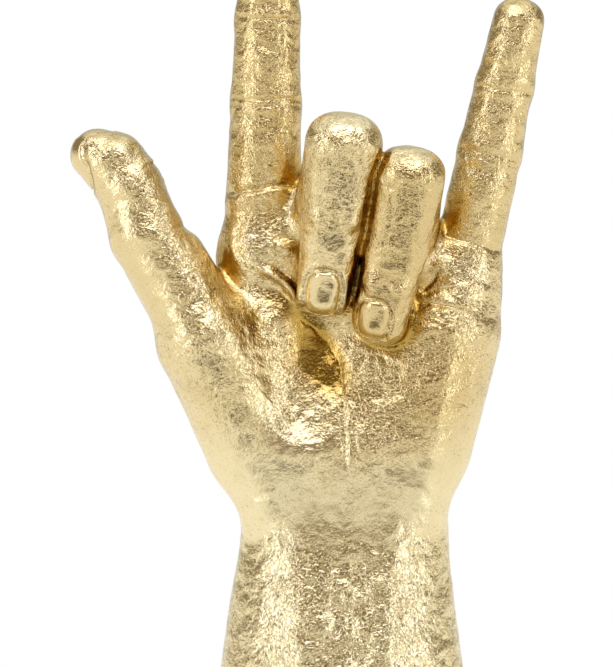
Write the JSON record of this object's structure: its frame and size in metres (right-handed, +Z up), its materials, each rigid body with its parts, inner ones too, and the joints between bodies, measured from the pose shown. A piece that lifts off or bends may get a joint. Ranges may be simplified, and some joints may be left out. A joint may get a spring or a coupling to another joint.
{
  "type": "hand sculpture",
  "caption": "Standing ornament in the form of a forearm and left hand, with index and little fingers raised, thumb out and the fingers between them folded onto the palm.",
  "frame": {"origin": "the middle of the felt pad's underside", "axes": "+Z up from the foot to the fingertips, -Y out of the palm, -X to the side of the thumb"},
  "size_m": [0.1436, 0.0757, 0.2537],
  "materials": {
    "gilded_resin": "satin",
    "rod_steel": "satin",
    "ballast_iron": "matte",
    "plate_steel": "satin",
    "felt": "matte"
  },
  "bodies": {
    "root": {"palm_casting": "gilded_resin", "thumb_casting": "gilded_resin", "thumb_rod": "rod_steel", "index_finger_casting": "gilded_resin", "index_finger_rod": "rod_steel", "middle_finger_casting": "gilded_resin", "ring_finger_casting": "gilded_resin", "little_finger_casting": "gilded_resin", "little_finger_rod": "rod_steel", "ballast_block": "ballast_iron", "base_plate": "plate_steel", "felt_pad": "felt"}
  },
  "joints": []
}
